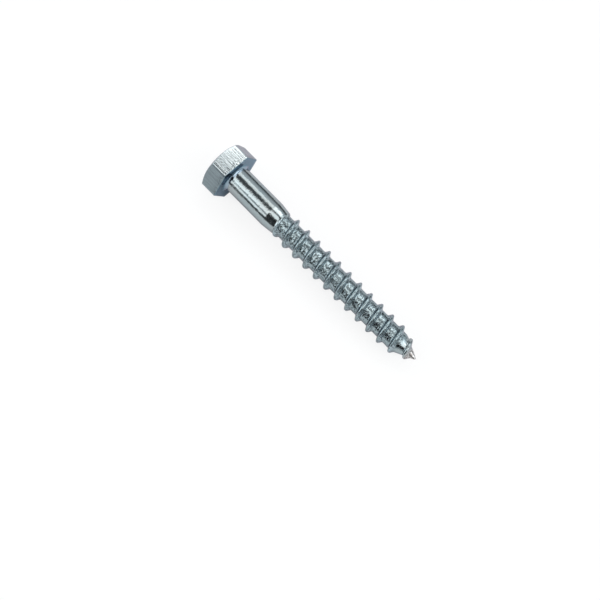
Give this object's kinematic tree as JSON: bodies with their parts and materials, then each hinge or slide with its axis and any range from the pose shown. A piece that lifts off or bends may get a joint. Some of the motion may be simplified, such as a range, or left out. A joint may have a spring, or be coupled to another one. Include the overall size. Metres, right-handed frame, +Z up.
{
  "type": "lag screw",
  "caption": "Hex-head lag screw with a plain shank, a coarse right-hand wood thread and a gimlet point, lying on a flat of its head.",
  "frame": {"origin": "bottom centre of the bounding box of the screw as it lies at rest on a flat surface", "axes": "+X along the screw towards its point, +Z up; the screw's own axis dips 2.7 degrees towards the point, because the head is thicker than the thread"},
  "size_m": [0.0696, 0.0148, 0.0132],
  "materials": {
    "zinc_plated_steel": "bright zinc plate on cold-formed steel, polished on the shank, mottled in the thread, fine drawing lines on the head's flats"
  },
  "bodies": {
    "root": {"lag_screw": "zinc_plated_steel"}
  },
  "joints": []
}
